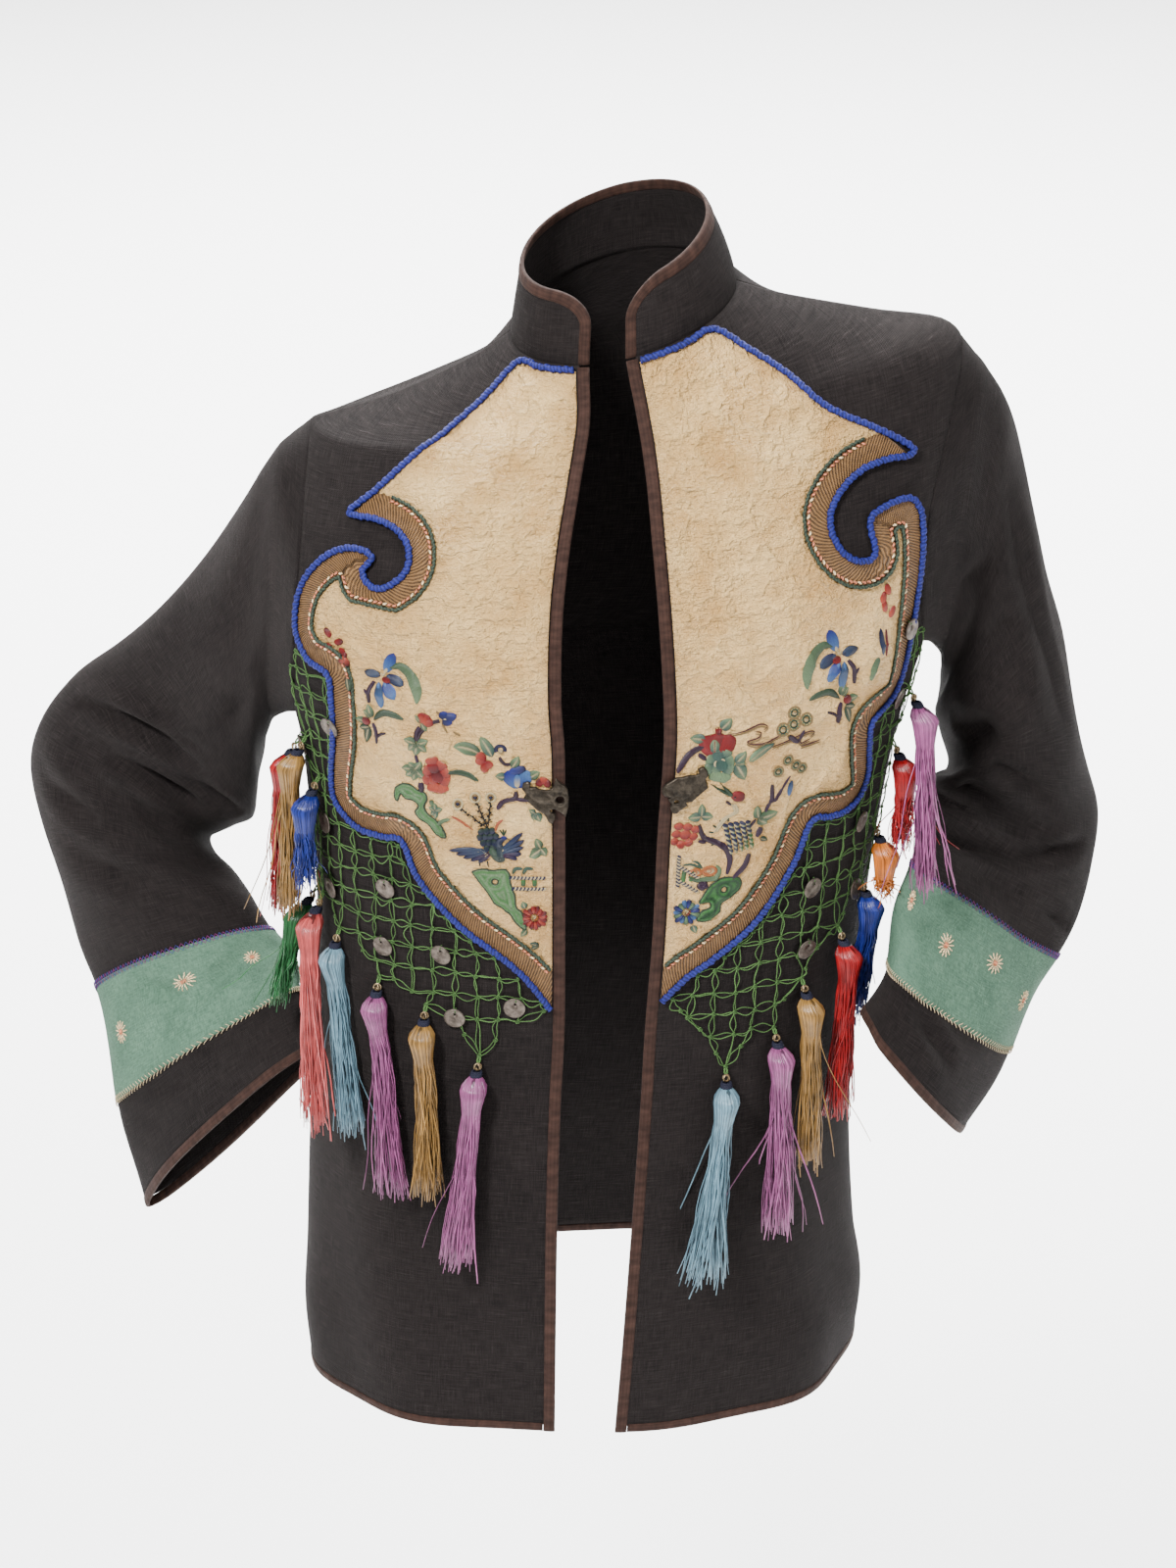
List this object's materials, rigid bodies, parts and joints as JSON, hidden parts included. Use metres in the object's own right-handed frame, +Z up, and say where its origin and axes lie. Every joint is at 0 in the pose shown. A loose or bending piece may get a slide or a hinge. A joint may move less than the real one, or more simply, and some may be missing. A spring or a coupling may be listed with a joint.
{
  "type": "worn hmong embroidered jacket, open front, with appliqued satin fronts and tasselled nets",
  "caption": "Worn stand-collar jacket, open in front, with shaped satin panels, knotted nets hung with tassels, banded sleeves and metal clasps.",
  "frame": {"origin": "centre of the neck's base, where the jacket's neckline rests on the wearer's shoulders", "axes": "+Z up, the wearer faces -Y, +X towards the wearer's left"},
  "size_m": [0.6619, 0.3107, 0.727],
  "materials": {
    "cloth": "charcoal slub cotton twill",
    "binding": "brown cotton bias binding",
    "satin": "crinkled cream silk satin",
    "ribbon": "gold-brown couched band",
    "cord": "blue corded edging",
    "linen": "teal-green linen",
    "net": "knotted green cord",
    "bronze": "dull cast metal",
    "red": "red silk floss",
    "gold": "gold silk floss",
    "navy": "navy silk floss",
    "green": "green silk floss",
    "salmon": "salmon silk floss",
    "sky": "sky silk floss",
    "mauve": "mauve silk floss"
  },
  "bodies": {
    "root": {"back": "cloth", "clasp_left": "bronze", "clasp_right": "bronze", "collar": "cloth", "collar_binding": "binding", "cord_left": "cord", "cord_right": "cord", "cuff_binding_left": "binding", "cuff_binding_right": "binding", "front_binding_left": "binding", "front_binding_right": "binding", "front_left": "cloth", "front_right": "cloth", "hem_binding_back": "binding", "hem_binding_front_left": "binding", "hem_binding_front_right": "binding", "net_left": "net", "net_right": "net", "ribbon_left": "ribbon", "ribbon_right": "ribbon", "satin_left": "satin", "satin_right": "satin", "sleeve_band_left": "linen", "sleeve_band_right": "linen", "sleeve_left": "cloth", "sleeve_right": "cloth", "tassel_left_1": "mauve", "tassel_left_2": "red", "tassel_left_3": "gold", "tassel_left_4": "navy", "tassel_left_5": "red", "tassel_left_6": "gold", "tassel_left_7": "mauve", "tassel_left_8": "sky", "tassel_right_1": "red", "tassel_right_2": "gold", "tassel_right_3": "navy", "tassel_right_4": "green", "tassel_right_5": "salmon", "tassel_right_6": "sky", "tassel_right_7": "mauve", "tassel_right_8": "gold", "tassel_right_9": "mauve"}
  },
  "joints": []
}
